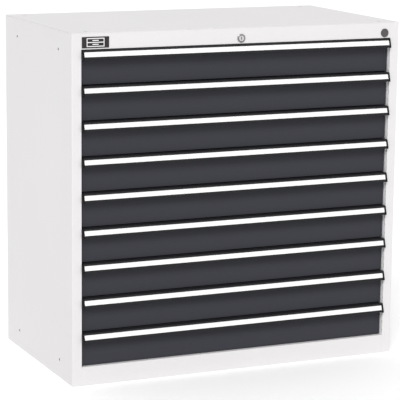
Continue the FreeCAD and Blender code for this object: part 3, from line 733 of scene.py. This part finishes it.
class CABINET_OT_middle_slides(bpy.types.Operator):
    """Build the middle slide members: plated bars with rollers on both faces"""

    bl_idname = "cabinet.middle_slides"
    bl_label = "Middle Slides"

    def execute(self, context):
        zinc = bpy.data.materials["zinc_plate"]
        nylon = moulded_plastic("roller_nylon", (0.33, 0.33, 0.32), 0.45)
        bars = bmesh.new()
        rollers = bmesh.new()
        shortest_bar = 100 * MM
        for solid in islands(cad_copy("drawer_1_mid_slides")):
            if depth_of(solid) > shortest_bar:
                join(bars, soften(solid, 0.4 * MM))
            else:
                low, high = mesh_box(solid)
                solid.free()
                join(rollers, roller((low + high) / 2, (high.z - low.z) / 2, high.x - low.x, steps=48))
        bar_mesh = to_mesh(bars, "slide_bars")
        roller_mesh = to_mesh(rollers, "slide_rollers", smooth_angle=30.0)
        for number in DRAWERS:
            rise = drawer_rise(number)
            body = f"slide_{number}"
            stands_for = [f"drawer_{number}_mid_slides"]
            add_piece(f"{body}_bars", bar_mesh, zinc, body, rise, stands_for)
            add_piece(f"{body}_rollers", roller_mesh, nylon, body, rise)
        return {"FINISHED"}


# ---------------------------------------------------------------- handles

class GripSection:
    """Places points of the grip's section, from distances in front of the panel and below the top."""

    def __init__(self, look):
        low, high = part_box("drawer_1_handle")
        self.panel = high.y
        self.top = high.z
        self.drop = high.z - low.z - look.wall / 2
        self.top_depth = look.top_depth
        self.lean = (high.y - low.y - look.top_depth) / self.drop
        self.left = low.x
        self.right = high.x

    def at(self, forward, down):
        """The (Y, Z) place of a point."""
        return (self.panel - forward, self.top - down)

    def face(self, down, inset=0.0):
        """A point on the slanting face, or behind it by an inset."""
        return self.at(self.top_depth + down * self.lean - inset, down)

    def slab(self, upper, lower, front, back, end_gap):
        """A thin strip that lies behind the slanting face, between two insets."""
        outline = [self.face(upper, front), self.face(lower, front)]
        outline += [self.face(lower, back), self.face(upper, back)]
        return extrude_along_x(outline, self.left + end_gap, self.right - end_gap)


def grip_outline(section, look):
    """The extrusion's outline: top web, label channel with two lips, lower nose and rear leg."""
    top, bottom = look.label_top, look.label_bottom
    lip, depth, undercut = 0.45 * MM, 1.2 * MM, 1.0 * MM
    wall, drop, front = look.wall, section.drop, look.top_depth
    top_corner = [
        section.at(0.0, 0.0),
        section.at(front - 1.6 * MM, 0.0),
        section.at(front - 0.8 * MM, 0.15 * MM),
        section.at(front - 0.1 * MM, 0.6 * MM),
        section.face(1.5 * MM),
    ]
    label_channel = [
        section.face(top),
        section.face(top, lip),
        section.face(top - undercut, lip),
        section.face(top - undercut, depth),
        section.face(bottom + undercut, depth),
        section.face(bottom + undercut, lip),
        section.face(bottom, lip),
        section.face(bottom),
    ]
    lower_nose = [
        section.face(drop - 1.6 * MM),
        section.face(drop - 0.5 * MM, 0.15 * MM),
        section.at(22.6 * MM, drop + 0.5 * MM),
        section.at(21.4 * MM, drop + 0.9 * MM),
        section.at(19.8 * MM, drop + 1.0 * MM),
        section.at(19.3 * MM, drop + 0.4 * MM),
    ]
    inner_corner = [
        section.face(5 * MM, 1.4 * wall),
        section.at(12.9 * MM, 3.0 * MM),
        section.at(12.2 * MM, 2.3 * MM),
        section.at(11.0 * MM, wall),
    ]
    rear_leg = [
        section.at(wall + 1.2 * MM, wall),
        section.at(wall + 0.3 * MM, wall + 0.4 * MM),
        section.at(wall, wall + 1.2 * MM),
        section.at(wall, look.leg),
        section.at(0.0, look.leg),
    ]
    return top_corner + label_channel + lower_nose + inner_corner + rear_leg


class CABINET_OT_grips(bpy.types.Operator):
    """Build the full-width grip profiles"""

    bl_idname = "cabinet.grips"
    bl_label = "Grip Profiles"

    def execute(self, context):
        look = context.scene.handle_look
        section = GripSection(look)
        metal = extruded_metal("grip_anodised", look.metal_colour)
        bar = extrude_along_x(grip_outline(section, look), section.left, section.right)
        mesh = to_mesh(bar, "grip_profile", smooth_angle=30.0)
        for number in DRAWERS:
            rise = drawer_rise(number)
            body = f"drawer_{number}"
            add_piece(f"{body}_grip", mesh, metal, body, rise, [f"{body}_handle"])
        return {"FINISHED"}


class CABINET_OT_labels(bpy.types.Operator):
    """Slide the label cards and their clear covers into the grips"""

    bl_idname = "cabinet.labels"
    bl_label = "Labels and Covers"

    def execute(self, context):
        look = context.scene.handle_look
        section = GripSection(look)
        card = label_paper("label_card", look.label_colour)
        clear = clear_strip("label_cover_clear", clearness=0.86)
        tuck = 0.7 * MM
        top, bottom = look.label_top - tuck, look.label_bottom + tuck
        card_slab = section.slab(top, bottom, front=0.95 * MM, back=1.19 * MM, end_gap=1.6 * MM)
        cover_slab = section.slab(top, bottom, front=0.48 * MM, back=0.9 * MM, end_gap=0.3 * MM)
        card_mesh = to_mesh(card_slab, "label_card")
        cover_mesh = to_mesh(soften(cover_slab, 0.08 * MM), "label_cover")
        for number in DRAWERS:
            rise = drawer_rise(number)
            body = f"drawer_{number}"
            add_piece(f"{body}_label_card", card_mesh, card, body, rise)
            add_piece(f"{body}_label_cover", cover_mesh, clear, body, rise)
        return {"FINISHED"}


class CABINET_OT_end_caps(bpy.types.Operator):
    """Build the moulded caps at the ends of the grips"""

    bl_idname = "cabinet.end_caps"
    bl_label = "End Caps"

    def execute(self, context):
        look = context.scene.handle_look
        plastic = moulded_plastic("cap_plastic", look.cap_colour, 0.5, gloss=0.15)
        caps = bmesh.new()
        for solid in islands(cad_copy("drawer_1_end_caps")):
            join(caps, soften(solid, 0.8 * MM, segments=3))
        mesh = to_mesh(caps, "end_caps")
        for number in DRAWERS:
            node = f"drawer_{number}_end_caps"
            rise = drawer_rise(number)
            add_piece(f"{node}_moulded", mesh, plastic, f"drawer_{number}", rise, [node])
        return {"FINISHED"}


# ---------------------------------------------------------------- lock, plug and badge

class CABINET_OT_lock(bpy.types.Operator):
    """Build the cylinder lock: flanged housing and turning barrel"""

    bl_idname = "cabinet.lock"
    bl_label = "Lock"

    def execute(self, context):
        look = context.scene.lock_look
        low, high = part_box("lock_housing")
        centre, rim = axis_centre("lock_housing")
        # The flange gets a darker copy of the barrel's nickel: painted shade for the darker reflection on
        # its face.
        nickel = turned_nickel("flange_plating_painted_shade", look.flange_colour_painted_shade, centre)
        bright = turned_nickel("barrel_nickel", look.barrel_colour, centre)
        running_gap = 0.05 * MM
        bore = axis_centre("lock_barrel")[1] + running_gap
        sleeve = rim - 1.5 * MM
        flange_back = low.y + 2 * MM
        groove = [
            (bore, low.y + 1.7 * MM),
            (bore + 1.1 * MM, low.y + 0.35 * MM),
        ]
        raised_rim = [
            (rim - 2.6 * MM, low.y + 0.3 * MM),
            (rim - 2.0 * MM, low.y),
            (rim - 1.0 * MM, low.y),
            (rim - 0.2 * MM, low.y + 0.6 * MM),
            (rim, low.y + 1.2 * MM),
        ]
        body = [(rim, flange_back), (sleeve, flange_back), (sleeve, high.y), (bore, high.y)]
        turned = turn_about_y(groove + raised_rim + body, centre, look.turned_steps)
        name = "lock_housing_turned"
        housing = to_mesh(turned, name, smooth_angle=30.0)
        add_piece(name, housing, nickel, "cabinet", stands_for=["lock_housing"])
        barrel = to_mesh(soften(cad_copy("lock_barrel"), 0.3 * MM), "lock_barrel_turned")
        add_piece("lock_barrel_turned", barrel, bright, "lock", stands_for=["lock_barrel"])
        return {"FINISHED"}


class CABINET_OT_plug(bpy.types.Operator):
    """Build the blanking plug with its grooved head"""

    bl_idname = "cabinet.plug"
    bl_label = "Blanking Plug"

    def execute(self, context):
        look = context.scene.lock_look
        low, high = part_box("blanking_plug")
        centre, rim = axis_centre("blanking_plug")
        head, wall = 2.5 * MM, 2.4 * MM
        sleeve = rim - 1.5 * MM
        sleeve_chamfer = 1 * MM
        grooved_face = [
            (0.0, low.y + 0.3 * MM),
            (0.44 * rim, low.y + 0.3 * MM),
            (0.52 * rim, low.y + 0.9 * MM),
            (0.62 * rim, low.y + 0.9 * MM),
            (0.7 * rim, low.y + 0.1 * MM),
            (0.86 * rim, low.y),
            (0.96 * rim, low.y + 0.4 * MM),
            (rim, low.y + 1.2 * MM),
        ]
        hollow_sleeve = [
            (rim, low.y + head),
            (sleeve, low.y + head),
            (sleeve, high.y - sleeve_chamfer),
            (sleeve - sleeve_chamfer, high.y),
            (sleeve - wall, high.y),
            (sleeve - wall, low.y + 2 * head),
            (0.0, low.y + 2 * head),
        ]
        plastic = moulded_plastic("plug_plastic", look.plug_colour, 0.5)
        turned = turn_about_y(grooved_face + hollow_sleeve, centre, look.turned_steps)
        name = "blanking_plug_moulded"
        mesh = to_mesh(turned, name, smooth_angle=30.0)
        add_piece(name, mesh, plastic, "cabinet", stands_for=["blanking_plug"])
        return {"FINISHED"}


def flat_bar(centre, reach, face, depth):
    """A thin bar that stands proud of a face, as far each way from its centre as reach says."""
    bottom, top = centre.z - reach.z, centre.z + reach.z
    outline = [(face, bottom), (face - depth, bottom), (face - depth, top), (face, top)]
    return extrude_along_x(outline, centre.x - reach.x, centre.x + reach.x)


def frame_bars(low, high, width, face, depth):
    """Four thin bars round a rectangle on a plate that faces the front."""
    work = bmesh.new()
    spans = [
        (low.x, high.x, low.z, low.z + width),
        (low.x, high.x, high.z - width, high.z),
        (low.x, low.x + width, low.z + width, high.z - width),
        (high.x - width, high.x, low.z + width, high.z - width),
    ]
    for left, right, bottom, top in spans:
        centre = Vector((left + right, 0, bottom + top)) / 2
        reach = Vector((right - left, 0, top - bottom)) / 2
        join(work, flat_bar(centre, reach, face, depth))
    return work


class CABINET_OT_badge(bpy.types.Operator):
    """Build the badge plate with its plain pictogram of two drawers"""

    bl_idname = "cabinet.badge"
    bl_label = "Badge Plate"

    def execute(self, context):
        look = context.scene.lock_look
        satin = moulded_plastic("badge_satin", look.badge_colour, 0.38)
        white = moulded_plastic("badge_print_white", (0.8, 0.8, 0.8), 0.4)
        work = cad_copy("badge_plate")
        low, high = mesh_box(work)
        recess = 0.25 * MM
        for vert in work.verts:
            if vert.co.y < low.y + recess / 25:
                vert.co.y += recess
        mesh = to_mesh(soften(work, 0.2 * MM), "badge_blank")
        add_piece("badge_blank", mesh, satin, "cabinet", stands_for=["badge_plate"])
        face = low.y + recess
        print_depth = recess * 0.8
        middle = (low + high) / 2
        stroke = 2.2 * MM
        pull_height = 5.4 * MM
        pull_reach = Vector((9, 0, 1.2)) * MM
        reach = Vector((26, 0, 12)) * MM
        pictogram = frame_bars(middle - reach, middle + reach, stroke, face, print_depth)
        divider = Vector((reach.x - stroke, 0, stroke / 2))
        join(pictogram, flat_bar(middle, divider, face, print_depth))
        for row in (-1, 1):
            pull = middle + Vector((0, 0, row * pull_height))
            join(pictogram, flat_bar(pull, pull_reach, face, print_depth))
        print_mesh = to_mesh(pictogram, "badge_print")
        add_piece("badge_print", print_mesh, white, "cabinet")
        return {"FINISHED"}


# ---------------------------------------------------------------- stage

def seen_from(azimuth, elevation):
    """The direction from the cabinet towards a place at these angles, from its front and the horizon."""
    return Vector((
        math.sin(azimuth) * math.cos(elevation),
        -math.cos(azimuth) * math.cos(elevation),
        math.sin(elevation),
    ))


def add_soft_key(name, direction, strength, softness):
    """A distant lamp with a wide disc, for soft shadows that are the same everywhere."""
    data = bpy.data.lights.new(name, "SUN")
    data.energy = strength
    data.angle = softness
    lamp = bpy.data.objects.new(name, data)
    lamp.location = direction * 5
    lamp.rotation_euler = (-direction).to_track_quat("-Z", "Y").to_euler()
    bpy.context.collection.objects.link(lamp)


class CABINET_OT_stage(bpy.types.Operator):
    """Set the floor, the studio light and the camera"""

    bl_idname = "cabinet.stage"
    bl_label = "Stage"

    def execute(self, context):
        look = context.scene.stage_look
        self.add_floor(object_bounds()[0].z)
        self.light_room(context.scene, look)
        self.add_camera(context.scene, look)
        return {"FINISHED"}

    def add_floor(self, level):
        """A plain pale floor."""
        work = bmesh.new()
        half_width = 30
        bmesh.ops.create_grid(work, x_segments=8, y_segments=8, size=half_width)
        floor = bpy.data.objects.new("floor", to_mesh(work, "floor"))
        floor.location.z = level
        bpy.context.collection.objects.link(floor)
        finish = Finish("floor_white", {"Roughness": 0.9, "Specular IOR Level": 0.1})
        tone = finish.noise(scale=0.8, detail=2)
        finish.feed("Base Color", finish.mix(tone, (0.955, 0.955, 0.955), (0.975, 0.975, 0.975)))
        floor.data.materials.append(finish.material)
        floor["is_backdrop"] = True

    def light_room(self, scene, look):
        """An even white room with a soft key from the upper front left."""
        world = bpy.data.worlds.new("studio")
        world.use_nodes = True
        background = world.node_tree.nodes["Background"]
        background.inputs["Color"].default_value = (1, 1, 1, 1)
        background.inputs["Strength"].default_value = look.sky
        scene.world = world
        scene.view_settings.view_transform = "Standard"
        above_left = seen_from(azimuth=math.radians(-28), elevation=math.radians(43))
        add_soft_key("key", above_left, look.key, softness=math.radians(25))

    def add_camera(self, scene, look):
        """The camera stands to the cabinet's left and looks slightly down."""
        target = Vector((4.6, 5.5, 450.8)) * MM
        back = seen_from(look.azimuth, look.elevation)
        data = bpy.data.cameras.new("camera")
        data.lens = look.lens
        data.clip_end = 100
        camera = bpy.data.objects.new("camera", data)
        camera.location = target + back * look.distance
        turn = (-back).to_track_quat("-Z", "Y").to_matrix() @ Matrix.Rotation(look.roll, 3, "Z")
        camera.rotation_euler = turn.to_euler()
        bpy.context.collection.objects.link(camera)
        scene.camera = camera


class CABINET_PT_panel(bpy.types.Panel):
    """Shows the cabinet's settings and build buttons in the sidebar"""

    bl_idname = "CABINET_PT_panel"
    bl_label = "Drawer Cabinet"
    bl_space_type = "VIEW_3D"
    bl_region_type = "UI"
    bl_category = "Drawer Cabinet"

    def draw(self, context):
        for settings in SETTINGS:
            look = getattr(context.scene, settings)
            box = self.layout.box()
            for name in look.__annotations__:
                box.prop(look, name)
        for operator in OPERATORS:
            self.layout.operator(operator.bl_idname)


SETTINGS = {
    "casing_look": CasingSettings,
    "drawer_look": DrawerSettings,
    "handle_look": HandleSettings,
    "lock_look": LockSettings,
    "stage_look": StageSettings,
}
OPERATORS = (
    CABINET_OT_casing,
    CABINET_OT_fixed_runners,
    CABINET_OT_trays,
    CABINET_OT_fronts,
    CABINET_OT_middle_slides,
    CABINET_OT_grips,
    CABINET_OT_labels,
    CABINET_OT_end_caps,
    CABINET_OT_lock,
    CABINET_OT_plug,
    CABINET_OT_badge,
    CABINET_OT_stage,
)


def register():
    """Register the settings, operators and panel."""
    for name, settings in SETTINGS.items():
        bpy.utils.register_class(settings)
        setattr(bpy.types.Scene, name, PointerProperty(type=settings))
    for operator in OPERATORS:
        bpy.utils.register_class(operator)
    bpy.utils.register_class(CABINET_PT_panel)


def unregister():
    """Undo register."""
    bpy.utils.unregister_class(CABINET_PT_panel)
    for operator in reversed(OPERATORS):
        bpy.utils.unregister_class(operator)
    for name, settings in reversed(SETTINGS.items()):
        delattr(bpy.types.Scene, name)
        bpy.utils.unregister_class(settings)


def main():
    """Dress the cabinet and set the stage."""
    for name in ("Cube", "Light", "Camera"):
        if name in bpy.data.objects:
            bpy.data.objects.remove(bpy.data.objects[name])
    register()
    for operator in OPERATORS:
        group, action = operator.bl_idname.split(".")
        getattr(getattr(bpy.ops, group), action)()


if __name__ == "__main__":
    main()
